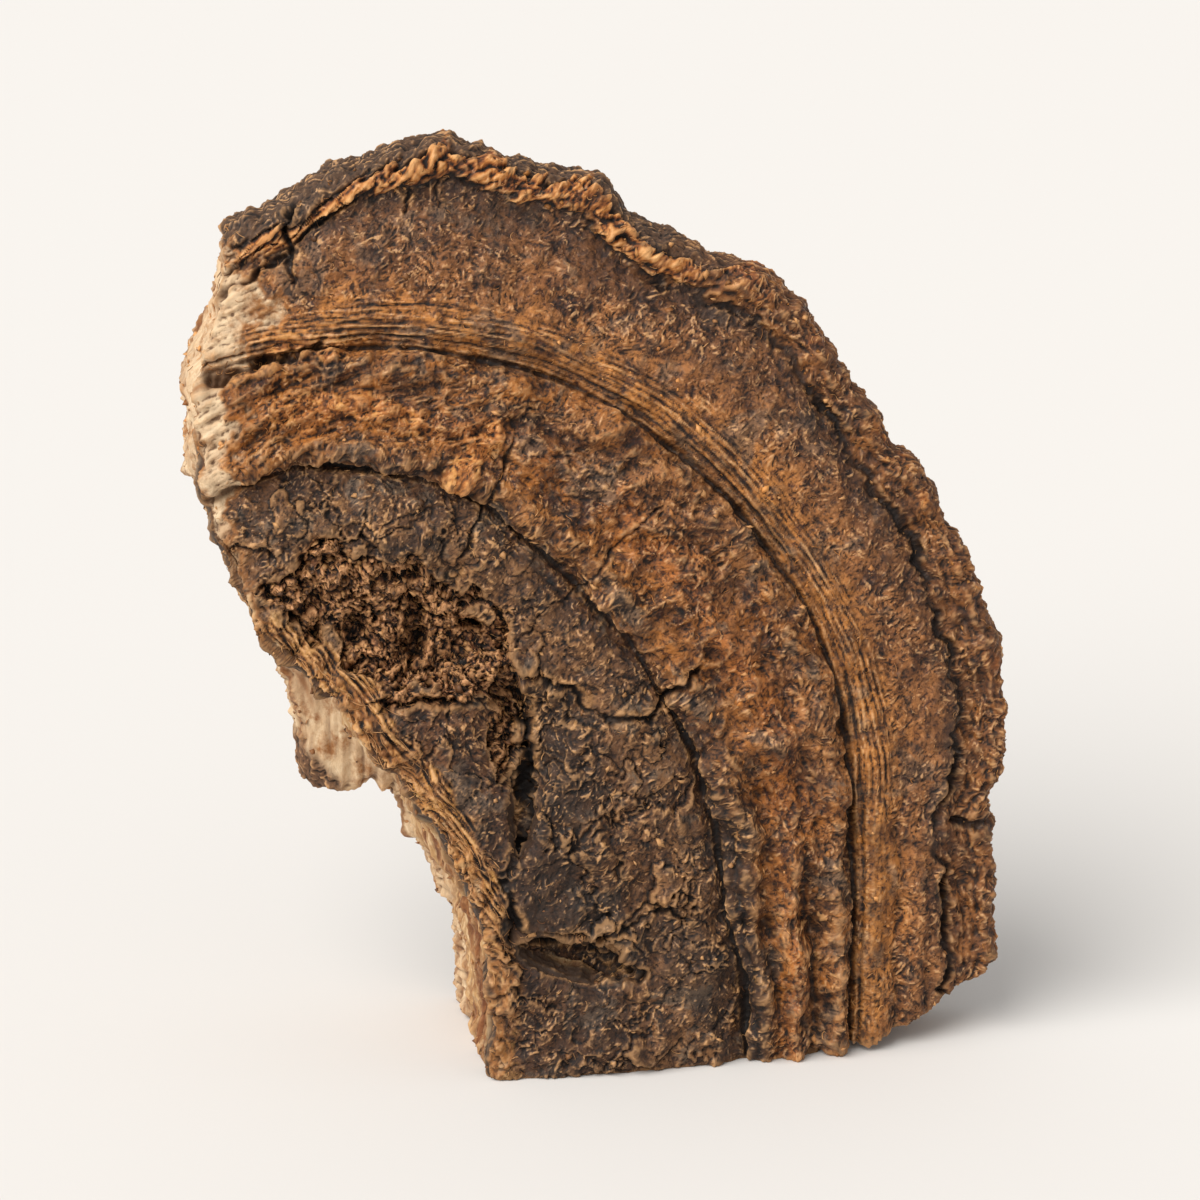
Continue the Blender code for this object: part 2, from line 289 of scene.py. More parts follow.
def lumps_of_part(points):
    cell = np.floor(points).astype(np.int64)
    nearest, second = np.full((2, len(points)), 9.0)
    own, height = np.zeros((2, len(points)))
    for step in itertools.product((-1, 0, 1), repeat=3):
        x, y, z = ((cell + step) & 255).T
        key = SHUFFLE[SHUFFLE[SHUFFLE[x] + y] + z]
        off = points - cell - step - 0.5 - 0.45 * SLOPES[key]
        reach = np.sqrt((off * off).sum(axis=1))
        closer = reach < nearest
        second = np.minimum(second, np.maximum(reach, nearest))
        own = np.where(closer, key / 255, own)
        height = np.where(closer, (off * SLOPES[(7 * key + 3) & 255]).sum(axis=1), height)
        nearest = np.minimum(nearest, reach)
    return np.column_stack([second - nearest, own, height])


def distance_to_line(x, z, line):
    """How far each point lies from a line of X and Z points."""
    nearest = np.full(len(x), np.inf)
    for (ax, az), (bx, bz) in itertools.pairwise(line):
        share = ((x - ax) * (bx - ax) + (z - az) * (bz - az)) / ((bx - ax) ** 2 + (bz - az) ** 2)
        share = np.clip(share, 0, 1)
        nearest = np.minimum(nearest, np.hypot(x - ax - share * (bx - ax), z - az - share * (bz - az)))
    return nearest


def depth_inside(x, z, outline):
    """How far inside an outline each point lies, and below 0 outside it."""
    inside = np.zeros(len(x), bool)
    for (ax, az), (bx, bz) in itertools.pairwise([*outline, outline[0]]):
        beside = x < ax + (z - az) / (bz - az) * (bx - ax) if az != bz else np.zeros_like(inside)
        inside ^= ((az > z) != (bz > z)) & beside
    return np.where(inside, 1, -1) * distance_to_line(x, z, [*outline, outline[0]])


class Surface:
    """Points of the bracket with their normals, and where each one grew."""

    def __init__(self, points, normals):
        self.points, self.normals = points, normals
        self.x, self.y, self.z = points.T
        across, up = self.x - CENTRE_X, self.z - CENTRE_Z
        up = np.where(up < 0, up / STRAIGHT_RUN, up)
        angle = np.arctan2(up, across)
        self.ring = self.true_ring(np.hypot(across, up), np.degrees(angle))
        self.along = np.where(self.z < CENTRE_Z, self.z - CENTRE_Z, angle * self.ring)
        self.behind = self.y - LEAN * self.z  # the middle plane
        self.outwards = unit(np.column_stack([across, 0 * up, np.maximum(up, 0)]))

        facing = (LEAN * normals[:, 2] - normals[:, 1]) / math.hypot(1, LEAN)
        in_front = smooth((-0.003 - self.behind) / 0.002)
        near_break = smooth((BREAK_WIDTH - distance_to_line(self.x, self.z, BREAK_LINE)) / 0.003)
        near_break *= smooth((0.127 - self.ring) / 0.002)
        self.upper = smooth((facing - 0.30) / 0.30) * in_front
        self.pores = smooth((-facing - 0.55) / 0.25) * smooth((self.behind - 0.002) / 0.002)
        self.foot = smooth((-normals[:, 2] - 0.6) / 0.2) * smooth((0.024 - self.z) / 0.004)
        self.broken = near_break * (1 - self.upper) * (1 - self.pores) * (1 - self.foot)
        rest = 1 - np.maximum.reduce([self.upper, self.pores, self.foot, self.broken])
        self.rim = np.clip(rest, 0, 1)

    @staticmethod
    def true_ring(reach, degrees):
        """The ring of a place that lies this far from the growth centre in this direction."""
        inner = along_list(degrees, INNER_RING)
        margin = along_list(degrees, MARGIN)
        between = INNER_FURROW + (reach - inner) / (OUTER_FURROW - inner) * (OUTER_FURROW - INNER_FURROW)
        ring = np.where(reach < inner, reach / inner * INNER_FURROW, between)
        outer = OUTER_FURROW + (reach - OUTER_FURROW) / (margin - OUTER_FURROW) * (RADIUS - OUTER_FURROW)
        return np.where(reach < OUTER_FURROW, ring, outer)

    def only(self, chosen):
        """The same surface with some of its points."""
        part = copy.copy(self)
        for name, values in vars(self).items():
            setattr(part, name, values[chosen])
        return part

    def columns(self):
        """1 near the cut, where the rings turn into columns."""
        return smooth((COLUMNS_BELOW - self.along) / (COLUMNS_BELOW - COLUMNS_FULLY))

    def even(self, size):
        """Places for noise with features of one size."""
        return self.points / size

    def drawn(self, along, across, salt=0.0):
        """Places for noise drawn out along the rings, with its two sizes."""
        return np.column_stack([self.along / along, self.ring / across, np.full(len(self.ring), salt)])

    def strokes(self, grain, reach, swirl, salt, held=0.0, across=None):
        """Short fine wrinkles, about -2 to 2. They swirl over the surface. Where held is 1 they run at right
        angles to the way given as across, and without one along the rings.
        """
        pull = np.column_stack([noise(self.even(swirl) + salt + 31 * axis) for axis in range(3)])
        held = np.broadcast_to(held, len(self.ring))[:, None]
        pull = pull * (1 - held) + 0.5 * held * (self.outwards if across is None else across)
        way = unit(np.cross(self.normals, pull))
        steps = np.linspace(-1, 1, 2 * round(1.1 * reach / grain) + 1)
        total = sum(noise((self.points + way * 0.5 * reach * step) / grain + salt) for step in steps)
        return total / total.std()

    def strokes_in(self, share, *settings):
        """The same, where a share is above 0."""
        made = np.zeros(len(share))
        chosen = np.flatnonzero(share > 0.001)
        made[chosen] = self.only(chosen).strokes(*settings)
        return made

    def crumbled_by(self):
        """How far inside a crumbled patch each point is, with a ragged edge."""
        x = self.x + 0.0034 * fractal(self.even(0.0080), 4)
        z = self.z + 0.0034 * fractal(self.even(0.0080) + 60, 4)
        inside = np.maximum(depth_inside(x, z, HOLLOW), depth_inside(x, z, BOTTOM_GAP))
        return inside - 0.004 * smooth((noise(self.even(0.0070) + 75) - 0.15) / 0.15)

    def frill(self):
        """How far outside the frill's scalloped inner edge each point is."""
        edge = along_list(self.along, FRILL_EDGE)
        scallops = 0.0022 * noise(self.drawn(0.0058, 1.0, 21))
        scallops += 0.0016 * np.abs(noise(self.drawn(0.0029, 1.0, 22)))
        return self.ring - edge - scallops - 0.0004 * noise(self.even(0.0012))

    def near_top(self):
        """0 low down the rim, 1 along its top."""
        return smooth((self.along - RIBBON_AT_EDGE) / (RIBBON_AT_TOP - RIBBON_AT_EDGE))

    def ribbon(self):
        """How far outside the golden ribbon's inner edge each point is, and how wide it is there."""
        near_top = self.near_top()
        low = self.ring - RIBBON_FROM - 0.0010 * noise(self.drawn(0.0040, 1.0, 23))
        uneven = 0.6 * noise(self.drawn(0.0090, 1.0, 24)) + 0.25 * noise(self.drawn(0.0025, 1.0, 25))
        wide = RIBBON_WIDTH * (1 + uneven)
        return (1 - near_top) * low + near_top * self.frill(), wide

    def near_lines(self, lines, ragged, edge):
        """1 near some lines, each given with half its width, with ragged edges."""
        uneven = ragged * fractal(self.even(0.0050) + 13, 4)
        inside = [half - distance_to_line(self.x, self.z, line) + uneven for line, half in lines]
        return smooth(np.maximum.reduce(inside) / edge + 0.3) * self.upper

    def gilded(self):
        """1 in the golden fibrous places."""
        return self.near_lines(GILDED, 0.0022, 0.0020)

    def painted_fissure_shade(self):
        """1 in the places painted dark as shade by the deepest cracks and the hollow."""
        return self.near_lines(PAINTED_FISSURE_SHADE, 0.0050, 0.0060)

    def frayed(self):
        """1 where the crust beside the break is frayed into fibres."""
        reach = distance_to_line(self.x, self.z, BREAK_LINE) + 0.0012 * fractal(self.even(0.0040) + 3, 2)
        less_low = 0.4 + 0.6 * smooth((self.z - 0.020) / 0.020)
        beside = smooth((0.0055 - reach) / 0.0020) * smooth((FRAYED_BELOW - self.z) / 0.006)
        return less_low * beside * self.upper

    def bared(self):
        """1 where pale flesh shows on the front, beside the break."""
        reach = along_list(self.z, FLAKED_OFF) * (1 + 0.7 * fractal(self.even(0.007), 3))
        ragged = 0.0026 * fractal(self.even(0.0028), 3) + 0.0016 * noise(self.drawn(0.008, 0.0022, 6))
        inside = reach - distance_to_line(self.x, self.z, BREAK_LINE) + ragged
        return smooth(inside / 0.0060 + 0.35) * self.upper

    def grooves(self):
        """How deep the grooves along the rings cut, and how much painted shade they get."""
        cut, dark = np.zeros((2, len(self.x)))
        for middle, half, depth, swing, least in GROOVES:
            own = noise(self.drawn(0.020, 1.0, 50 + 90 * middle))
            own += 0.25 * noise(self.drawn(0.006, 1.0, 50 + middle))
            uneven = np.clip(0.75 + 0.8 * noise(self.drawn(0.026, 1.0, 70 + 90 * middle)), least, 1.3)
            within = uneven * hump(self.ring + swing * own, middle, half)
            cut += depth * within
            dark = np.maximum(dark, within * min(depth / 0.0014, 1))
        return cut, dark * self.upper

    def cracks(self):
        """How deep the named cracks cut, and how near a crack's lip each point is."""
        x = self.x + 0.0010 * noise(self.even(0.0035)) + 0.0005 * noise(self.even(0.0013))
        z = self.z + 0.0010 * noise(self.even(0.0035) + 40) + 0.0005 * noise(self.even(0.0013) + 40)
        uneven = np.clip(0.9 + 0.9 * noise(self.even(0.0060) + 50), 0.25, 1.4)
        deepest, lip = np.zeros((2, len(self.x)))
        for line, half, depth in CRACKS:
            off = distance_to_line(x, z, line)
            deepest = np.maximum(deepest, depth * uneven * hump(off, 0, half * np.sqrt(uneven)))
            lip = np.maximum(lip, hump(off, 0.0004 + 1.8 * half, 0.0005))
        uneven = np.clip(0.75 + 1.0 * noise(self.drawn(0.012, 1.0, 33)), 0.1, 1.3)
        groove = along_list(self.along, FRILL_GROOVE) * uneven * hump(self.frill(), 0, 0.0009)
        deepest = np.maximum(deepest, groove)
        return deepest * self.upper, lip * smooth(noise(self.even(0.0050) + 55) * 2) * self.upper


STROKE_HEIGHT = 0.00011
# Furrows of the pore surface: ring, half width, depth
PORE_FURROWS = [
    (0.0450, 0.0010, 0.0006), (0.0700, 0.0009, 0.0009), (0.0860, 0.0007, 0.0005), (0.0990, 0.0010, 0.0010),
    (0.1150, 0.0012, 0.0010),
]  # fmt: skip
# Plates of the inner crust, then flakes of the crumbled flesh: size, how unlike their heights are, their
# slope, depth of the gaps
PLATES = [(0.0150, 0.0014, 0.0018, 0.0008), (0.0065, 0.0006, 0.0009, 0.0003)]
FLAKES = [
    (0.0085, 0.0030, 0.0030, 0.0010), (0.0038, 0.0016, 0.0024, 0.0007), (0.0017, 0.0006, 0.0013, 0.0003),
]  # fmt: skip


def crust_relief(at):
    """The upper surface's ridges, grooves, folds, plates, crumbled patches and frill, and its strokes."""
    inner = smooth((INNER_FURROW - at.ring) / 0.004)
    middle = band(at.ring, INNER_FURROW, OUTER_FURROW, 0.003)
    outer = smooth((at.ring - OUTER_FURROW) / 0.002)
    bend = 0.55 * noise(at.even(0.0016))[:, None]
    flaked = smooth((noise(at.even(0.0080) + 0.3 * bend + 11) - 0.10) / 0.05)
    relief = ring_relief(at) + middle * fold_relief(at) + inner * plate_relief(at)
    relief += 0.00085 * fractal(at.even(0.0085), 3) * (1.2 - 0.5 * outer) + 0.00025 * flaked * middle
    relief += (0.00030 - 0.00012 * inner) * creased(at.even(0.0026) + bend)
    relief += 0.00055 * noise(at.even(0.0034))

    frayed = at.frayed()
    across = np.cross(FRAYED_WAY, (0.0, 12.0, 0.0))
    torn = at.strokes_in(frayed, 0.00060, 0.0070, 0.0060, 15, 0.80, across)
    stroke = crust_strokes(at) * (1 - frayed) + 1.2 * torn * frayed
    relief += 0.00022 * frayed * torn
    relief += at.gilded() * (0.0011 + 0.0008 * noise(at.even(0.0022) + 5))

    inside = at.crumbled_by()
    rubble = smooth(inside / 0.0015 + 0.2)
    chosen = np.flatnonzero(rubble > 0.001)
    heap = np.zeros(len(relief))
    heap[chosen] = rubble_relief(at.only(chosen))
    relief = relief * (1 - 0.7 * rubble) + rubble * heap
    relief += 0.0005 * hump(inside, -0.0010, 0.0012) - 0.0012 * hump(inside, 0.0012, 0.0010)

    frilled = smooth(at.frill() / 0.0012)
    near_top = at.near_top()
    from_ribbon, wide = at.ribbon()
    outside = smooth((from_ribbon - wide) / 0.0008) * near_top
    frill = 0.0003 + lobes(at) + pleats(at) * (1 - 0.65 * outside)
    relief = relief * (1 - 0.6 * frilled) + frilled * frill
    relief += 0.0011 * band(from_ribbon, 0, wide, 0.0012)
    relief -= 0.0010 * near_top * hump(from_ribbon, wide + 0.0004, 0.0005)

    bared = at.bared()
    fibrous = 0.0006 * noise(at.drawn(0.010, 0.0018, 7)) + 0.0011 * fractal(at.even(0.0060) + 9, 4)
    fibrous += 0.00015 * noise(at.drawn(0.0040, 0.0007, 8))
    relief = relief * (1 - 0.5 * bared) + bared * (fibrous - 0.0005)
    stroke = stroke * (1 - 0.5 * bared) * (1 - 0.4 * rubble)
    deep, lip = at.cracks()
    return relief - deep + 0.00015 * lip, stroke


def crust_strokes(at):
    """The crust's fine wrinkles, drawn out into threads where it is in thin layers."""
    patchy = np.clip(0.85 + 0.5 * noise(at.even(0.0075) + 17), 0.35, 1.3)
    fine = at.strokes(0.00042, 0.0014, 0.0030, 3)
    coarse = at.strokes(0.00080, 0.0024, 0.0050, 9)
    stroke = patchy * (0.85 * fine + 0.45 * coarse)
    layered = band(at.ring, *LAMINAE, 0.003) * (1 - 0.6 * at.columns())
    threads = at.strokes_in(layered, 0.00050, 0.0080, 0.0060, 27, 0.92)
    return stroke * (1 - 0.75 * layered) + 0.85 * threads * layered


def ring_relief(at):
    """Ridges and grooves that follow the rings, and the columns between furrows near the cut."""
    ring = at.ring + 0.0008 * noise(at.even(0.020)) + 0.0003 * noise(at.even(0.007))
    columns = at.columns()
    relief = 0.0007 * columns * noise(at.drawn(0.012, 0.0060, 61))
    for middle, half, height in RIDGES:
        uneven = 1 + 0.6 * noise(at.drawn(0.013, 1.0, 90 * middle))
        if middle > COLUMNS_OUTSIDE:
            uneven += 0.9 * columns
        relief += height * uneven * hump(ring, middle, half)
    relief -= at.grooves()[0]
    for middle, depth in COLUMN_FURROWS:
        wander = 0.0016 * noise(at.drawn(0.009, 1.0, 30 + 90 * middle))
        wander += 0.0005 * noise(at.drawn(0.003, 1.0, middle))
        relief -= depth * columns * hump(at.ring + wander, middle, 0.0014)
    wave = np.sin(2 * math.pi * (ring + 0.0005 * noise(at.drawn(0.009, 0.004, 1))) / LAMINA)
    lines = wave * (0.6 + 0.6 * noise(at.drawn(0.014, 0.004, 2))) * (1 - 0.7 * columns)
    return relief + 0.00032 * lines * band(at.ring, 0.0965, 0.1045, 0.002)


def fold_relief(at):
    """Soft folds and knobs, some along the rings and some across them."""
    along_rings = 0.0022 * noise(at.drawn(0.012, 0.0070, 3)) + 0.0009 * creased(at.even(0.0060) + 4)
    knobs = np.abs(noise(at.drawn(0.0060, 0.0045, 5))) + 0.5 * np.abs(noise(at.drawn(0.0028, 0.0022, 6)))
    return along_rings + 0.0009 * noise(at.drawn(0.0045, 0.010, 5)) + 0.0012 * knobs - 0.0006


def plate_relief(at):
    """Thin plates that have parted and tilted a little."""
    bend = 0.25 * noise(at.even(0.005))[:, None] + 0.08 * noise(at.even(0.0015))[:, None]
    shown = 0.3 + 0.7 * smooth(noise(at.even(0.020) + 5) + 0.5)
    relief = np.zeros(len(at.x))
    for size, step, tilt, depth in PLATES:
        gap, own, slope = lumps(at.even(size) + bend)
        relief += step * (own - 0.5) + tilt * slope - depth * (1 - smooth(gap / 0.07))
    return shown * relief


def rubble_relief(at):
    """Crumbled flesh: tilted flakes of several sizes, with gaps and a few deep holes between them."""
    bend = 0.35 * noise(at.even(0.0030))[:, None] + 0.10 * noise(at.even(0.0010))[:, None]
    heap = 0.0024 * noise(at.even(0.0075) + 8) - 0.0008
    for size, step, tilt, depth in FLAKES:
        gap, own, slope = lumps(at.even(size) + bend)
        heap += step * (own - 0.5) + tilt * slope - depth * (1 - smooth(gap / 0.12))
    ragged = 0.4 * noise(at.even(0.0022))
    for x, z, wide, high, depth in HOLES:
        reach = np.hypot((at.x - x) / wide, (at.z - z) / high) + ragged
        heap -= 1.3 * depth * smooth((1.35 - reach) / 0.5)
    return heap


def lobes(at):
    """The margin's own unevenness."""
    return 0.0016 * noise(at.drawn(0.0090, 1.0, 41)) + 0.0008 * noise(at.drawn(0.0038, 1.0, 42))


def pleats(at):
    """Puckers of the frill near the top, ledges along it lower down, and nicks between some of them."""
    near_top = at.near_top()
    puckers = 0.0040 * np.abs(noise(at.drawn(0.0060, 0.0056, 4) + 0.25 * noise(at.even(0.0024))[:, None]))
    puckers += 0.0005 * noise(at.drawn(0.0012, 0.0045, 44))
    ledges = 0.0013 * np.abs(noise(at.drawn(0.0085, 0.0024, 14))) + 0.0010 * np.abs(noise(at.even(0.0036)))
    nicks = 0.0026 * np.clip(noise(at.drawn(0.0062, 0.06, 8)) - 0.35, 0, 1)
    relief = near_top * puckers + (1 - near_top) * ledges
    return relief - nicks + 0.0005 * fractal(at.even(0.0020), 2) - 0.0009


def edge_relief(at):
    """The outermost edge and its turn to the underside: thin worn layers along it, and soft lobes."""
    thick = noise(np.column_stack([at.along / 0.018, at.behind / 0.0026, at.ring / 0.02]))
    thin = noise(np.column_stack([at.along / 0.008, at.behind / 0.0010, at.ring / 0.02]))
    worn = 0.0008 * fractal(at.even(0.0045), 3) + 0.0003 * creased(at.even(0.0026))
    relief = lobes(at) + 0.30 * pleats(at) + 0.0005 * thick + 0.00025 * thin + worn
    return relief, at.strokes(0.00045, 0.0018, 0.0040, 5, 0.6, np.array(THROUGH))


def flesh_relief(at):
    """The broken side: layers along the break, and tubes through the thickness behind them."""
    tubes = smooth((at.behind - TUBES_FROM) / 0.003)
    layers = noise(np.column_stack([at.x / 0.012, at.behind / 0.0012, at.z / 0.012]))
    columns = noise(np.column_stack([at.x / 0.0011, at.behind / 0.014, at.z / 0.0011]))
    hanging = noise(np.column_stack([at.x / 0.0013, at.behind / 0.004, at.z / 0.018]))
    in_front = smooth((-at.normals[:, 1] - 0.5) / 0.3)
    columns = columns * (1 - in_front) + hanging * in_front
    grain = layers * (1 - tubes) + columns * tubes
    knobs = 1 - 0.8 * in_front * tubes
    relief = 0.0014 * fractal(at.even(0.0070), 3) + 0.0003 * creased(at.even(0.0024))
    relief = 0.0005 * grain + knobs * relief
    teeth = noise(np.column_stack([at.x / 0.0030, at.behind / 0.012, at.z / 0.030]))
    below = smooth((-at.normals[:, 2] - 0.3) / 0.3) * smooth((at.z - 0.035) / 0.01)
    return relief + 0.0022 * teeth * below, 1.2 * grain


def pore_relief(at):
    """The pore surface: shallow zones, furrows along the rings, low lumps, worn pits and a fine grain."""
    zones = 0.0007 * noise(at.drawn(0.060, 0.0075, 12)) + 0.0008 * fractal(at.even(0.014), 4)
    wander = 0.0016 * noise(at.even(0.02)) + 0.0005 * noise(at.even(0.005))
    for middle, half, depth in PORE_FURROWS:
        uneven = np.clip(0.7 + 0.8 * noise(at.drawn(0.022, 1.0, 60 * middle)), 0.1, 1.3)
        zones -= depth * uneven * hump(at.ring + wander, middle, half)
    worn = 0.0007 * smooth((fractal(at.even(0.0110) + 19, 4) - 0.10) / 0.30)
    grain = noise(at.even(0.0011))
    return zones - worn + 0.00015 * grain + 0.0003 * creased(at.even(0.0032)), 0.8 * grain


def foot_relief(at):
    """The weathered corner beside the flat cut."""
    return 0.0008 * fractal(at.even(0.005), 4), 0.5 * noise(at.even(0.0012))


def mesh_arrays(mesh):
    """A mesh's points, normals and edges."""
    count = len(mesh.vertices)
    points, normals = np.empty(count * 3), np.empty(count * 3)
    edges = np.empty(len(mesh.edges) * 2, np.int64)
    mesh.vertices.foreach_get("co", points)
    mesh.vertex_normals.foreach_get("vector", normals)
    mesh.edges.foreach_get("vertices", edges)
    return points.reshape(-1, 3), normals.reshape(-1, 3), edges.reshape(-1, 2)


def corner_triples(mesh):
    """The corners of a mesh's triangles."""
    mesh.calc_loop_triangles()
    corners = np.empty(len(mesh.loop_triangles) * 3, np.int64)
    mesh.loop_triangles.foreach_get("vertices", corners)
    return corners.reshape(-1, 3)


def blurred(values, edges, reach):
    """Values evened out over the mesh's neighbours, as far as the reach."""
    first, second = edges.T
    count = len(values)
    links = np.bincount(first, minlength=count) + np.bincount(second, minlength=count)
    for _ in range(round((reach / FINE_VOXEL) ** 2)):
        gathered = np.bincount(first, values[second], count) + np.bincount(second, values[first], count)
        values = 0.5 * values + 0.5 * gathered / np.maximum(links, 1)
    return values


def apply_modifiers(piece):
    """Replaces a piece's mesh by what its modifiers make of it."""
    graph = bpy.context.evaluated_depsgraph_get()
    made = bpy.data.meshes.new_from_object(piece.evaluated_get(graph), depsgraph=graph)
    piece.modifiers.clear()
    piece.data = made


def remeshed(piece, voxel):
    remesh = piece.modifiers.new("remesh", "REMESH")
    remesh.mode = "VOXEL"
    remesh.voxel_size = voxel
    apply_modifiers(piece)


def add_piece(name, mesh):
    made = bpy.data.objects.new(name, mesh)
    bpy.context.scene.collection.objects.link(made)
    return made


def settled_copy(node):
    """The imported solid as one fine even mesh, with its facets smoothed off and its cut still flat."""
    piece = add_piece("whole", node.data.copy())
    weld = piece.modifiers.new("weld", "WELD")
    weld.merge_threshold = 0.00001
    remeshed(piece, COARSE_VOXEL)
    settle = piece.modifiers.new("settle", "SMOOTH")
    settle.factor = 0.5
    settle.iterations = SETTLING_ROUNDS
    remeshed(piece, FINE_VOXEL)
    return piece


def carve(whole):
    """Moves every point of the fine mesh by its own relief. Gives the points, and what their colours need."""
    points, normals, edges = mesh_arrays(whole.data)
    at = Surface(points, normals)
    relief, stroke = np.zeros((2, len(points)))
    shapes = [
        (at.upper, crust_relief), (at.rim, edge_relief), (at.broken, flesh_relief), (at.pores, pore_relief),
        (at.foot, foot_relief),
    ]  # fmt: skip
    for share, shape in shapes:
        chosen = np.flatnonzero(share > 0.001)
        broad, fine = shape(at.only(chosen))
        relief[chosen] += share[chosen] * (broad + STROKE_HEIGHT * fine)
        stroke[chosen] += share[chosen] * fine
    flat = (points[:, 2] < 0.0006) & (normals[:, 2] < -0.6)
    relief[flat] = 0
    moved = points + normals * relief[:, None]
    moved[flat, 2] = 0
    moved[:, 2] = np.maximum(moved[:, 2], 0)
    whole.data.vertices.foreach_set("co", moved.ravel())
    whole.data.update()

    deep, lip = at.cracks()
    dark = at.grooves()[1]
    near_top = at.near_top()
    from_ribbon, wide = at.ribbon()
    return moved, {
        "ring": at.ring, "along": at.along, "behind": at.behind, "upper": at.upper, "pores": at.pores,
        "broken": at.broken, "foot": np.maximum(at.foot, flat), "rim": at.rim, "bared": at.bared(),
        "rubble": smooth(at.crumbled_by() / 0.0015 + 0.2) * at.upper, "frill": at.frill(),
        "ribbon": band(from_ribbon, 0, wide, 0.0008) * (at.upper + at.rim), "near_top": near_top,
        "lip": smooth((from_ribbon - wide) / 0.0006) * near_top * (at.upper + at.rim),
        # crack: how much painted shade the cracks and grooves get
        "crack": np.clip(np.maximum(deep / 0.0012, dark), 0, 1), "parted": lip, "stroke": stroke,
        "frayed": at.frayed(), "gilded": at.gilded(), "painted_fissure_shade": at.painted_fissure_shade(),
        # height and broad: how far each point stands above or below its neighbours, used to paint light on
        # raised places and shade in low ones
        "height": np.clip((relief - blurred(relief, edges, CAVITY_REACH)) / 0.00025, -1, 1),
        "broad": np.clip((relief - blurred(relief, edges, HOLLOW_REACH)) / 0.0008, -1, 1),
    }  # fmt: skip


def part_of(name, points, triangles, fields):
    """A piece of the skin, from some of its triangles."""
    kept, corners = np.unique(triangles, return_inverse=True)
    mesh = bpy.data.meshes.new(name)
    mesh.from_pydata(points[kept], [], corners.reshape(-1, 3))
    for field, values in fields.items():
        attribute = mesh.attributes.new(field, "FLOAT", "POINT")
        attribute.data.foreach_set("value", values[kept].astype(np.float32))
    mesh.shade_smooth()
    return add_piece(name, mesh)


def thin_out(piece, wanted):
    """Brings a piece down to about as many triangles as wanted, and leaves its border as it is."""
    triangles = corner_triples(piece.data)
    sides = np.concatenate([triangles[:, pair] for pair in ([0, 1], [1, 2], [2, 0])])
    sides, uses = np.unique(np.sort(sides, axis=1), axis=0, return_counts=True)
    free = np.setdiff1d(np.arange(len(piece.data.vertices)), sides[uses == 1])
    piece.vertex_groups.new(name="free").add(free.tolist(), 1.0, "REPLACE")
    decimate = piece.modifiers.new("thin_out", "DECIMATE")
    decimate.ratio = min(1.0, wanted / len(triangles))
    decimate.vertex_group = "free"
    apply_modifiers(piece)
    piece.vertex_groups.clear()


def skin_pieces(points, triangles, fields):
    """The fine mesh parted into pieces that meet edge to edge, each small enough to be kept."""
    edge_behind = fields["rim"] * smooth((fields["behind"] - 0.002) / 0.002)
    behind = np.maximum.reduce([fields["pores"], fields["foot"], edge_behind])[triangles].min(axis=1) > 0.5
    broken = ~behind & (fields["broken"][triangles].min(axis=1) > 0.5)
    band_of = np.digitize(fields["ring"][triangles].mean(axis=1), [start for _, start in CRUST_PIECES]) - 1
    for number, (name, _) in enumerate(CRUST_PIECES):
        yield part_of(name, points, triangles[~behind & ~broken & (band_of == number)], fields)
    thinned = (("broken_side", broken, BROKEN_TRIANGLES), ("underside", behind, UNDERSIDE_TRIANGLES))
    for name, chosen, wanted in thinned:
        piece = part_of(name, points, triangles[chosen], fields)
        thin_out(piece, wanted)
        yield piece


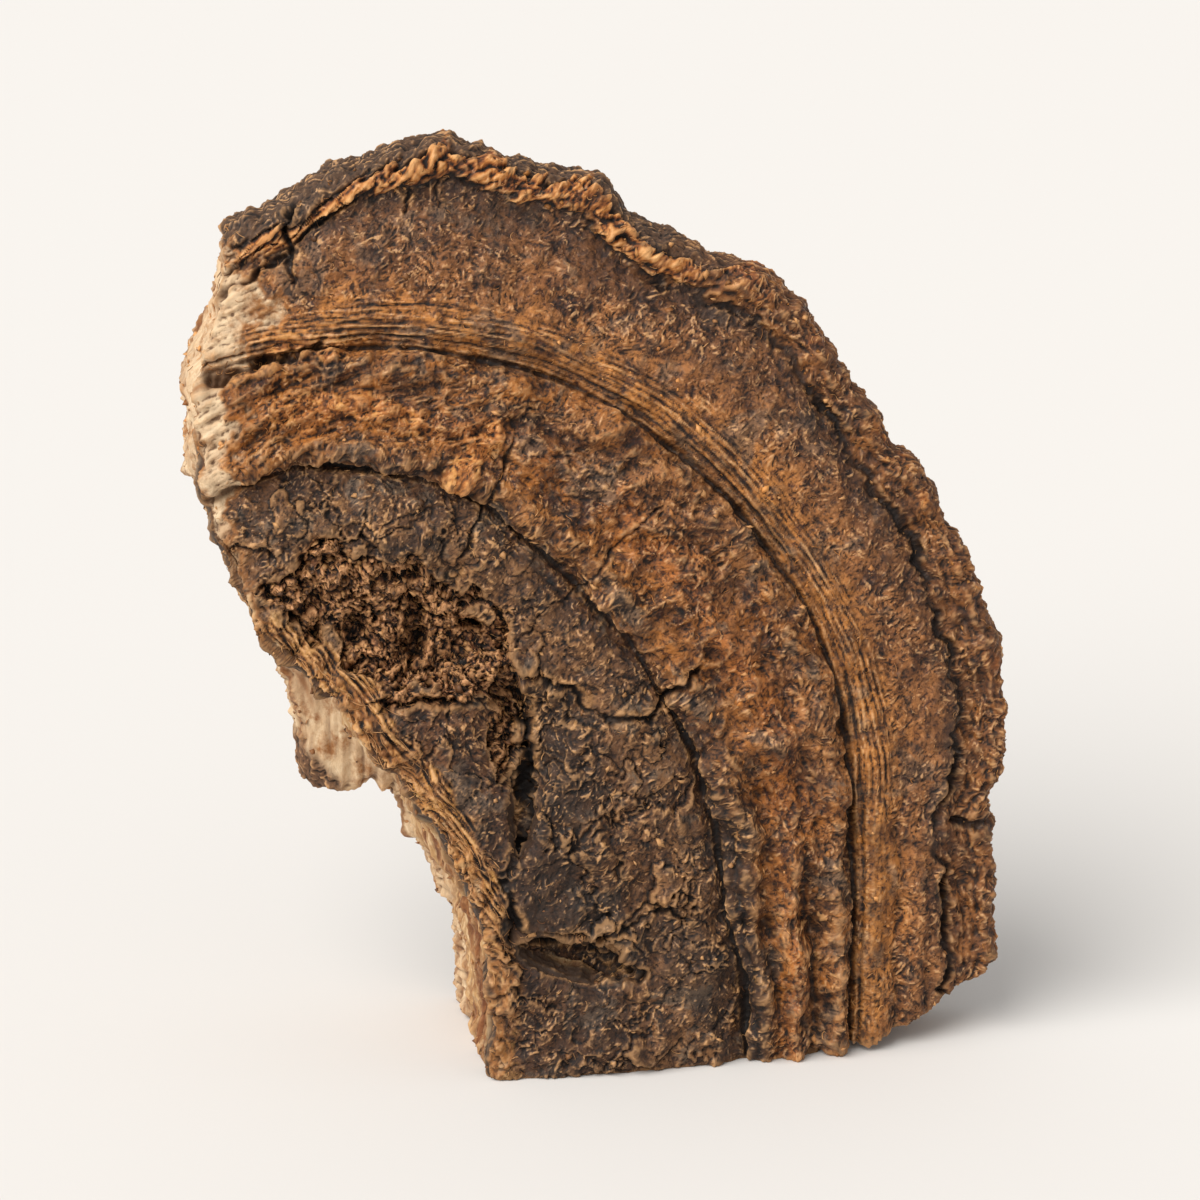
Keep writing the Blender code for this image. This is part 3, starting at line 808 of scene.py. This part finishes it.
class Graph:
    """Builds one material's nodes. A socket or a plain value can go into any input."""

    def __init__(self, name):
        self.material = bpy.data.materials.new(name)
        self.material.use_nodes = True
        self.tree = self.material.node_tree
        self.shader = self.tree.nodes["Principled BSDF"]
        self.place = self.node("ShaderNodeTexCoord", {}).outputs["Object"]

    def put(self, socket, value):
        if isinstance(value, bpy.types.NodeSocket):
            self.tree.links.new(value, socket)
        else:
            socket.default_value = value

    def node(self, kind, inputs, **settings):
        made = self.tree.nodes.new(kind)
        for name, value in settings.items():
            setattr(made, name, value)
        for key, value in inputs.items():
            self.put(made.inputs[key], value)
        return made

    def field(self, name):
        return self.node("ShaderNodeAttribute", {}, attribute_name=name).outputs["Fac"]

    def math(self, operation, *values, clamp=False):
        inputs = dict(enumerate(values))
        return self.node("ShaderNodeMath", inputs, operation=operation, use_clamp=clamp).outputs[0]

    def times(self, first, *others):
        for other in others:
            first = self.math("MULTIPLY", first, other)
        return first

    def most(self, first, *others):
        for other in others:
            first = self.math("MAXIMUM", first, other)
        return first

    def span(self, value, low, high, start=0.0, end=1.0):
        """The value's place between low and high, as a number from start to end."""
        inputs = {"Value": value, "From Min": low, "From Max": high, "To Min": start, "To Max": end}
        return self.node("ShaderNodeMapRange", inputs, interpolation_type="SMOOTHSTEP").outputs[0]

    def mix(self, share, first, second, blend="MIX"):
        made = self.node("ShaderNodeMix", {0: share, 6: first, 7: second}, data_type="RGBA", blend_type=blend)
        return made.outputs[2]

    def combine(self, x, y, z):
        return self.node("ShaderNodeCombineXYZ", {0: x, 1: y, 2: z}).outputs[0]

    def noise(self, place, size, detail=2.0, roughness=0.5, distortion=0.0):
        inputs = {
            "Vector": place, "Scale": 1 / size, "Detail": detail, "Roughness": roughness,
            "Distortion": distortion,
        }  # fmt: skip
        return self.node("ShaderNodeTexNoise", inputs).outputs["Fac"]

    def stained(self, tint, value, low, stain, high):
        """The tint, multiplied by a stain where the value is low."""
        return self.mix(1.0, tint, self.ramp(value, [(low, stain), (high, "ffffff")]), "MULTIPLY")

    def mottled(self, size, detail, roughness, lift, share, stops):
        """Mottled colours, brighter by a share of the lift; where the lift is the relief this is painted light
        on raised places and painted shade on low ones.
        """
        value = self.noise(self.place, size, detail, roughness)
        return self.ramp(self.math("ADD", value, self.times(lift, share)), stops)

    def ramp(self, value, stops):
        made = self.node("ShaderNodeValToRGB", {"Fac": value})
        elements = made.color_ramp.elements
        while len(elements) < len(stops):
            elements.new(1.0)
        for element, (at, tint) in zip(elements, stops):
            element.position = at
            element.color = colour(tint)
        return made.outputs["Color"]


def colour(text):
    """A colour given as six hexadecimal digits, for a shader."""
    parts = [int(text[place:place + 2], 16) / 255 for place in (0, 2, 4)]
    return (*[part / 12.92 if part <= 0.04045 else ((part + 0.055) / 1.055) ** 2.4 for part in parts], 1.0)


# Colours of the upper surface by ring
ZONES = [
    (0.000, "956338"), (0.030, "7e5231"), (0.042, "724b29"), (0.052, "875c37"), (0.060, "92663d"),
    (0.0655, "724b29"), (0.069, "5f3a1c"), (0.072, "925b2c"), (0.076, "ca853d"), (0.081, "c2742f"),
    (0.086, "ac6e38"), (0.0905, "b17640"), (0.0945, "a66c36"), (0.0965, "835229"), (0.0985, "d78c3b"),
    (0.103, "d18a42"), (0.108, "b97940"), (0.113, "a86e3b"), (0.118, "8d5b32"), (0.1225, "784d28"),
    (0.1300, "815229"),
]  # fmt: skip
# Mottled colours, from dark to light
GOLD = [(0.32, "3a1d0c"), (0.52, "864a1c"), (0.70, "be7630"), (0.90, "f0b470")]
FLESH = [(0.25, "8d6238"), (0.50, "bd9462"), (0.75, "e6cca4")]
CRUMBLED = [(0.37, "120905"), (0.52, "583622"), (0.64, "8c5834"), (0.80, "dca070")]
TORN = [(0.36, "3a2414"), (0.50, "8c5a2c"), (0.64, "c48c44"), (0.78, "ecc084")]
GILT = [(0.34, "6a3a14"), (0.50, "b46c2c"), (0.68, "e8a85c")]
RUST = [(0.36, "351c0e"), (0.52, "74451f"), (0.70, "a4662c")]
PORES = [(0.32, "7a5030"), (0.50, "a07244"), (0.68, "c49a68")]
CUT = [(0.3, "59391f"), (0.7, "9a7146")]
# The first colour is painted shade; the fourth is the threads' own pale colour and also painted highlight
SHADE_BLACK, OCHRE, ASH, THREAD_AND_HIGHLIGHT, PALE = "0b0604", "a8641e", "6a5d4e", "dba56c", "eed8b8"


def crust_colour(g, ring, along):
    """The upper surface before its wear: rings, streaks, ochre and ashen patches, and painted shade low down
    by the inner furrow.
    """
    grown = g.combine(along, ring, 0.0)
    drawn = g.combine(g.times(along, 0.12), ring, 0.0)
    tint = g.ramp(g.math("ADD", ring, g.span(g.noise(g.place, 0.016, 3), 0.3, 0.7, -0.0022, 0.0022)), ZONES)
    streaks = g.noise(drawn, 0.0016, 3, 0.6)
    tint = g.stained(tint, streaks, 0.30, "b8aea6", 0.70)
    in_middle = g.times(g.span(ring, 0.068, 0.075), g.span(ring, 0.100, 0.092))
    ochre = g.math("ADD", g.noise(grown, 0.012, 4, 0.65, 0.6), g.span(along, 0.08, 0.16, 0.0, 0.10))
    tint = g.mix(g.times(g.span(ochre, 0.50, 0.62), in_middle, 0.85), tint, colour(OCHRE))
    ashen = g.span(g.noise(g.place, 0.010, 5, 0.68, 0.5), 0.52, 0.62)
    tint = g.mix(g.times(ashen, g.span(ring, 0.118, 0.090, 0.45, 0.65)), tint, colour(ASH))
    mottled = g.noise(g.place, 0.0055, 5, 0.72, 0.3)
    tint = g.stained(tint, mottled, 0.34, "685548", 0.58)
    specks = g.noise(g.place, 0.0015, 4, 0.7, 0.4)
    tint = g.stained(tint, specks, 0.36, "725c50", 0.50)
    # Darker low down in and beside the inner furrow and in the inner rings: painted shade
    low = g.span(along, 0.035, -0.010)
    beside = g.times(g.span(ring, 0.0650, 0.0680), g.span(ring, 0.0780, 0.0720), 0.85)
    within = g.most(beside, g.span(ring, 0.052, 0.040, 0.0, 0.45))
    return g.mix(g.times(low, within), tint, colour("2e1c10"))


def flesh_colour(g, behind):
    """Broken flesh, in thin layers, paler high up and dark where the crust begins."""
    layered = g.combine(g.times(g.field("along"), 0.2), behind, 0.0)
    tint = g.ramp(g.noise(layered, 0.0011, 3, 0.6, 0.3), FLESH)
    height = g.node("ShaderNodeSeparateXYZ", {0: g.place}).outputs[2]
    pale = g.most(g.span(height, 0.085, 0.120), g.span(behind, 0.004, 0.010, 0.0, 0.8))
    tint = g.mix(g.times(pale, 0.45), tint, colour(PALE))
    strata = g.noise(g.combine(g.times(g.field("along"), 0.06), behind, 0.0), 0.0042, 3, 0.5)
    tint = g.stained(tint, strata, 0.36, "a67c50", 0.50)
    blotch = g.noise(g.place, 0.0060, 5, 0.7)
    return g.stained(tint, blotch, 0.34, "bd966c", 0.50)


def pore_colour(g, ring, along, shaded_pore_mouths):
    """The pore surface: tan and brown zones, bruises, a paler margin and the tube mouths painted dark as
    shade.
    """
    drawn = g.combine(g.times(along, 0.12), ring, 0.0)
    tint = g.ramp(g.noise(drawn, 0.0045, 4, 0.6), PORES)
    ragged = g.math("ADD", ring, g.span(g.noise(g.place, 0.0080, 5, 0.7), 0.3, 0.7, -0.0035, 0.0035))
    tint = g.mix(g.span(ragged, 0.1165, 0.1215, 0.0, 0.7), tint, colour("b8895a"))
    patches = g.noise(g.place, 0.0100, 5, 0.7, 0.3)
    tint = g.stained(tint, patches, 0.34, "6c5444", 0.52)
    specks = g.noise(g.place, 0.0018, 4, 0.7)
    tint = g.stained(tint, specks, 0.36, "85705f", 0.54)
    return g.mix(g.times(shaded_pore_mouths, 0.75), tint, colour("2c1a10"))


def worn_crust(g, crust, height, stroke):
    """The crust with painted shade by the deepest cracks, the hollow and inside the frill, crumbled flesh,
    torn and golden fibres, and frill.
    """
    # Painted shade by the deepest cracks and the hollow
    crust = g.mix(g.times(g.field("painted_fissure_shade"), 0.55), crust, colour("24170e"))
    # Flakes lighter where raised and darker in pits by the relief: painted light and shade
    crumbled = g.mottled(0.0034, 5, 0.75, height, 0.20, CRUMBLED)
    crust = g.mix(g.times(g.field("rubble"), 0.85), crust, crumbled)
    crust = g.mix(g.times(g.field("parted"), 0.40), crust, colour("c08a50"))
    # Torn and golden fibres a little lighter on raised strokes: painted highlight
    crust = g.mix(g.times(g.field("frayed"), 0.80), crust, g.mottled(0.0040, 4, 0.7, stroke, 0.07, TORN))
    crust = g.mix(g.times(g.field("gilded"), 0.80), crust, g.mottled(0.0030, 4, 0.7, stroke, 0.05, GILT))
    out = g.field("frill")
    rust = g.ramp(g.noise(g.place, 0.0045, 4, 0.7), RUST)
    crust = g.mix(g.times(g.span(out, -0.0004, 0.0010), 0.80), crust, rust)
    shadowed = g.times(g.span(out, -0.0060, -0.0015), g.span(out, 0.0006, -0.0002))
    shadowed = g.times(shadowed, g.span(g.noise(g.place, 0.0070, 3), 0.42, 0.60))
    return g.mix(g.times(shadowed, 0.65), crust, colour("33211a"))


def ribboned(g, tint, ring, along, height, broad):
    """The golden ribbon on the frill, lighter on its crests and darker in its hollows as painted light and
    shade, and the dark edge outside it near the top.
    """
    pleat = g.noise(g.combine(along, g.times(ring, 0.6), 0.0), 0.0030, 4, 0.7)
    # Crests of the pleats lighter and hollows darker by the relief: painted light and shade
    gold = g.math("ADD", pleat, g.math("ADD", g.times(height, 0.12), g.times(broad, 0.14)))
    gold = g.ramp(g.math("ADD", gold, g.span(g.field("near_top"), 0.0, 1.0, -0.08, 0.03)), GOLD)
    golden = g.math("ADD", g.noise(g.place, 0.0060, 3), g.times(g.field("near_top"), 0.28))
    golden = g.span(golden, 0.50, 0.70, 0.0, 0.92)
    tint = g.mix(g.times(g.field("ribbon"), golden), tint, gold)
    return g.mix(g.times(g.field("lip"), 0.85), tint, colour("4a3626"))


def painted_light_and_shade(g, tint, pale, height, broad, stroke):
    """Painted highlights on raised threads and crests, painted shade in sunken ones, hollows and cracks, less
    so on the pale surfaces.
    """
    shade = g.mix(pale, colour(SHADE_BLACK), colour("5c3a20"))
    sunken = g.times(g.span(stroke, -0.1, -1.5), g.span(pale, 0.0, 1.0, 0.72, 0.30))
    raised = g.times(g.span(stroke, 0.5, 2.0), g.span(pale, 0.0, 1.0, 0.62, 0.20))
    tint = g.mix(sunken, tint, shade)
    tint = g.mix(raised, tint, colour(THREAD_AND_HIGHLIGHT))
    tint = g.mix(g.span(height, 0.20, 0.90, 0.0, 0.35), tint, g.mix(0.5, tint, colour(THREAD_AND_HIGHLIGHT)))
    tint = g.mix(g.span(broad, 0.10, 0.90, 0.0, 0.45), tint, g.mix(0.45, tint, colour(THREAD_AND_HIGHLIGHT)))
    hollow = g.span(broad, -0.10, -0.95, 0.0, 0.85)
    dip = g.most(g.span(height, -0.05, -0.95), hollow, g.field("crack"))
    return g.mix(g.times(dip, 0.85), tint, shade)


def fungus_material():
    """Crust, rim, flesh, pores and cut in one material, told apart by the carved fields."""
    g = Graph("dried_crust")
    ring, along, behind = g.field("ring"), g.field("along"), g.field("behind")
    height, broad, stroke = g.field("height"), g.field("broad"), g.field("stroke")
    pores, broken, bared = g.field("pores"), g.field("broken"), g.field("bared")

    crust = worn_crust(g, crust_colour(g, ring, along), height, stroke)
    edge = g.mix(g.span(behind, -0.001, 0.003), crust, colour("6a4930"))
    tint = g.mix(g.field("upper"), edge, crust)
    tint = ribboned(g, tint, ring, along, height, broad)
    flesh = flesh_colour(g, behind)
    tint = g.mix(g.span(bared, 0.20, 0.80), tint, flesh)
    fringe = g.times(g.span(bared, 0.0, 0.30), g.span(bared, 0.9, 0.40))
    tint = g.mix(g.times(fringe, 0.55), tint, colour("a4682e"))
    tint = g.mix(broken, tint, g.mix(g.span(behind, -0.012, -0.016), flesh, colour("3c2a1c")))
    # The pore mouths, painted dark as shade and also sunk by the bump
    shaded_pore_mouths = g.node("ShaderNodeTexVoronoi", {"Vector": g.place, "Scale": 1 / 0.00055}).outputs["Distance"]
    shaded_pore_mouths = g.span(shaded_pore_mouths, 0.42, 0.18)
    tint = g.mix(pores, tint, pore_colour(g, ring, along, shaded_pore_mouths))
    drawn = g.combine(g.times(along, 0.12), ring, 0.0)
    tint = g.mix(g.field("foot"), tint, g.ramp(g.noise(drawn, 0.0018, 4, 0.6), CUT))
    tint = painted_light_and_shade(g, tint, g.most(pores, broken, bared), height, broad, stroke)
    g.put(g.shader.inputs["Base Color"], tint)
    g.put(g.shader.inputs["Roughness"], g.span(stroke, 0.0, 1.5, 0.75, 0.36))
    g.put(g.shader.inputs["Specular IOR Level"], 0.5)

    grain = g.noise(g.place, 0.00035, 3, 0.6)
    grain = g.math("SUBTRACT", grain, g.times(shaded_pore_mouths, pores, 1.5))
    bump = g.node("ShaderNodeBump", {"Height": grain, "Strength": 0.8, "Distance": 0.00025})
    g.put(g.shader.inputs["Normal"], bump.outputs[0])
    return g.material


def fibre_material():
    """Dry fibre and crumbs: the crust's own colours made lighter, each one its own shade."""
    g = Graph("fibre")
    ring, shade = g.field("ring"), g.field("shade")
    own = g.mix(g.span(ring, 0.1215, 0.1235), g.ramp(ring, ZONES), colour("a86c30"))
    tint = g.mix(g.span(shade, 0.40, 1.0, 0.0, 0.75), own, colour(THREAD_AND_HIGHLIGHT))
    tint = g.mix(g.span(shade, 0.45, 0.05, 0.0, 0.75), tint, colour("3a281b"))
    g.put(g.shader.inputs["Base Color"], tint)
    g.put(g.shader.inputs["Roughness"], 0.55)
    g.put(g.shader.inputs["Specular IOR Level"], 0.4)
    return g.material


def surface_samples(points, triangles, weights, fields, count):
    """Random places on the skin, more of them where the weights are high, with the normal, the ring and how
    frayed it is there.
    """
    a, b, c = (points[triangles[:, corner]] for corner in range(3))
    cross = np.cross(b - a, c - a)
    odds = np.linalg.norm(cross, axis=1) * weights[triangles].mean(axis=1)
    picked = CHANCE.choice(len(triangles), count, p=odds / odds.sum())
    share = CHANCE.random((count, 2))
    over = share.sum(axis=1) > 1
    share[over] = 1 - share[over]
    u, v = share[:, :1], share[:, 1:]
    places = a[picked] * (1 - u - v) + b[picked] * u + c[picked] * v
    nearest = triangles[picked, 0]
    return places, unit(cross[picked]), fields["ring"][nearest], fields["frayed"][nearest]


def fibre_piece(name, samples, tree):
    """Short curly strands lying on the skin, longer and straighter where it is frayed."""
    spots, ups, rings, frayed = samples
    length = CHANCE.uniform(0.0008, 0.0030, FIBRES) * (1 + 1.8 * frayed)
    thick = CHANCE.uniform(0.00005, 0.00011, FIBRES)
    lift = CHANCE.uniform(-0.00004, 0.00020, FIBRES)
    loose = 1 - 0.75 * frayed
    curl = CHANCE.normal(0, 0.35, FIBRES) * loose
    shade = np.maximum(CHANCE.random(FIBRES), 0.9 * frayed)
    way = CHANCE.normal(size=(FIBRES, 3)) * loose[:, None] + 25 * frayed[:, None] * np.array(FRAYED_WAY)
    way = unit(way - (way * ups).sum(axis=1)[:, None] * ups)
    rows = []
    for step in range(FIBRE_POINTS):
        found = [tree.find_nearest(spot)[:2] for spot in spots.tolist()]
        at, up = (np.array([pair[part] for pair in found]) for part in (0, 1))
        way = unit(way - (way * up).sum(axis=1)[:, None] * up)
        side = np.cross(way, up)
        end = step in (0, FIBRE_POINTS - 1)
        centre = at + up * (np.where(end, -0.00005, lift))[:, None]
        if end:
            rows.append(centre[:, None])
        else:
            turns = [2 * math.pi * turn / 3 for turn in range(3)]
            ring = [centre + thick[:, None] * (math.cos(t) * side + math.sin(t) * up) for t in turns]
            rows.append(np.stack(ring, axis=1))
        way = turned(way, up, curl + CHANCE.normal(0, 0.25, FIBRES) * loose)
        spots = at + way * (length / (FIBRE_POINTS - 1))[:, None]
    return copies_piece(name, np.concatenate(rows, axis=1), strand_triangles(), rings, shade)


def turned(way, up, angle):
    """Each direction turned about its normal."""
    return way * np.cos(angle)[:, None] + np.cross(up, way) * np.sin(angle)[:, None]


def strand_triangles():
    """The triangles of a strand: a point, some rings of three corners, and a point."""
    last = 3 * (FIBRE_POINTS - 2) + 1
    found = []
    for turn, after in ((0, 1), (1, 2), (2, 0)):
        found.append((0, 1 + after, 1 + turn))
        found.append((last, last - 3 + turn, last - 3 + after))
        for low in range(1, last - 3, 3):
            found.append((low + turn, low + after, low + 3 + after))
            found.append((low + turn, low + 3 + after, low + 3 + turn))
    return found


# The corners and triangles of a crumb: an octahedron
CRUMB_CORNERS = np.array([(1, 0, 0), (0, 1, 0), (-1, 0, 0), (0, -1, 0), (0, 0, 1), (0, 0, -1)], float)
CRUMB = [
    face
    for turn in range(4)
    for face in ((turn, (turn + 1) % 4, 4), ((turn + 1) % 4, turn, 5))
]  # fmt: skip


def crumb_piece(name, samples):
    """Small uneven flakes lying in the crumbled patches and along the broken edges."""
    spots, ups, rings, _ = samples
    side = unit(np.cross(ups, CHANCE.normal(size=(CRUMBS, 3))))
    across = np.cross(ups, side)
    side = unit(side + ups * CHANCE.normal(0, 0.5, (CRUMBS, 1)))
    frame_of = np.stack([side, across, ups], axis=1)
    size = 0.0002 + 0.0011 * CHANCE.random((CRUMBS, 1, 1)) ** 2
    corners = CRUMB_CORNERS * size * np.array([1.0, 0.7, 0.28]) * CHANCE.uniform(0.6, 1.3, (CRUMBS, 6, 1))
    corners += CHANCE.normal(0, 0.15, (CRUMBS, 6, 3)) * size * 0.5
    return copies_piece(name, spots[:, None] + corners @ frame_of, CRUMB, rings, CHANCE.random(CRUMBS))


def copies_piece(name, corners, triangles, rings, shades):
    """One mesh of many small closed bodies, given their corners, with each one's ring and shade."""
    count, each = corners.shape[:2]
    starts = np.arange(count)[:, None, None] * each
    faces = (starts + np.array(triangles)).reshape(-1, 3)
    corners = corners.reshape(-1, 3)
    corners[:, 2] = np.maximum(corners[:, 2], 0)
    mesh = bpy.data.meshes.new(name)
    mesh.from_pydata(corners, [], faces)
    for field, values in (("ring", rings), ("shade", shades)):
        attribute = mesh.attributes.new(field, "FLOAT", "POINT")
        attribute.data.foreach_set("value", np.repeat(values, each).astype(np.float32))
    around = 2 * math.pi * np.arange(each) / each
    places = np.stack([
        0.02 + 0.96 * rings[:, None] / (1.05 * RADIUS) + 0.002 * np.cos(around),
        0.02 + 0.96 * shades[:, None] + 0.002 * np.sin(around),
    ], axis=-1).reshape(-1, 2)
    layer = mesh.uv_layers.new(name="OFBake")
    layer.uv.foreach_set("vector", places[faces.ravel()].astype(np.float32).ravel())
    mesh.shade_smooth()
    return add_piece(name, mesh)


def loose_matter(whole, points, triangles, fields):
    """The loose fibres and the crumbs, most of them where the fungus is crumbled, broken or frilled."""
    tree = BVHTree.FromObject(whole, bpy.context.evaluated_depsgraph_get())
    upper, rubble = fields["upper"], fields["rubble"]
    beside = hump(distance_to_line(points[:, 0], points[:, 2], BREAK_LINE), 0, 0.003) * (fields["behind"] < 0)
    frilled = fields["ribbon"] * (fields["behind"] < 0)
    worn = (1 - fields["bared"]) * (1 - fields["pores"]) * (1 - fields["foot"])
    liking = worn * (0.12 * upper + 2.0 * rubble + 1.2 * beside + 0.4 * frilled + 0.5 * fields["parted"])
    liking += 0.8 * fields["gilded"]
    yield fibre_piece("fibres", surface_samples(points, triangles, liking, fields, FIBRES), tree)
    liking = upper * (rubble + 0.03) + 0.1 * fields["broken"] + 0.05 * frilled
    yield crumb_piece("crumbs", surface_samples(points, triangles, liking, fields, CRUMBS))


def belongs(piece, material):
    """Everything is one grown body, so each piece rides on the root and takes the material it is given."""
    piece.data.materials.clear()
    piece.data.materials.append(material)
    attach(piece, "root")
    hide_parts("bracket")


def floor():
    """A pale plain floor that reaches past every view."""
    bpy.ops.mesh.primitive_circle_add(vertices=96, radius=6.0, fill_type="NGON", location=(0, 0, -0.0001))
    made = bpy.context.object
    made.name = "floor"
    g = Graph("pale_floor")
    g.put(g.shader.inputs["Base Color"], colour("dfdcd8"))
    g.put(g.shader.inputs["Roughness"], 0.9)
    g.put(g.shader.inputs["Specular IOR Level"], 0.1)
    made.data.materials.append(g.material)


def studio():
    """Soft light from the upper left, and an even pale world. A sun lights all of the floor evenly."""
    world = bpy.data.worlds.new("studio")
    world.use_nodes = True
    background = world.node_tree.nodes["Background"]
    background.inputs["Color"].default_value = colour("ffffff")
    background.inputs["Strength"].default_value = WORLD_LIGHT
    bpy.context.scene.world = world
    data = bpy.data.lights.new("key", "SUN")
    data.energy = SUN_LIGHT
    data.angle = math.radians(SUN_SPREAD)
    data.color = (1.0, 0.98, 0.955)
    key = bpy.data.objects.new("key", data)
    key.rotation_euler = (-Vector(TOWARDS_SUN)).to_track_quat("-Z", "Y").to_euler()
    bpy.context.scene.collection.objects.link(key)
    bpy.context.scene.view_settings.view_transform = "Standard"


def camera():
    """The photograph's angle: a long lens a little above and to the left of straight on."""
    azimuth, elevation = math.radians(AZIMUTH), math.radians(ELEVATION)
    low, high = CAD_BOX
    middle = (low + high) / 2
    back = Vector((
        math.sin(azimuth) * math.cos(elevation),
        -math.cos(azimuth) * math.cos(elevation),
        math.sin(elevation),
    ))
    data = bpy.data.cameras.new("camera")
    data.sensor_width = 36.0
    data.lens = data.sensor_width * DISTANCE / SEEN
    made = bpy.data.objects.new("camera", data)
    made.location = middle + back * DISTANCE
    made.rotation_euler = (-back).to_track_quat("-Z", "Y").to_euler()
    bpy.context.scene.collection.objects.link(made)
    bpy.context.scene.camera = made


def main():
    whole = settled_copy(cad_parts["bracket"])
    points, fields = carve(whole)
    triangles = corner_triples(whole.data)
    fibre = fibre_material()
    for piece in loose_matter(whole, points, triangles, fields):
        belongs(piece, fibre)
    bpy.data.objects.remove(whole)
    fungus = fungus_material()
    for piece in skin_pieces(points, triangles, fields):
        belongs(piece, fungus)
    floor()
    studio()
    camera()


main()
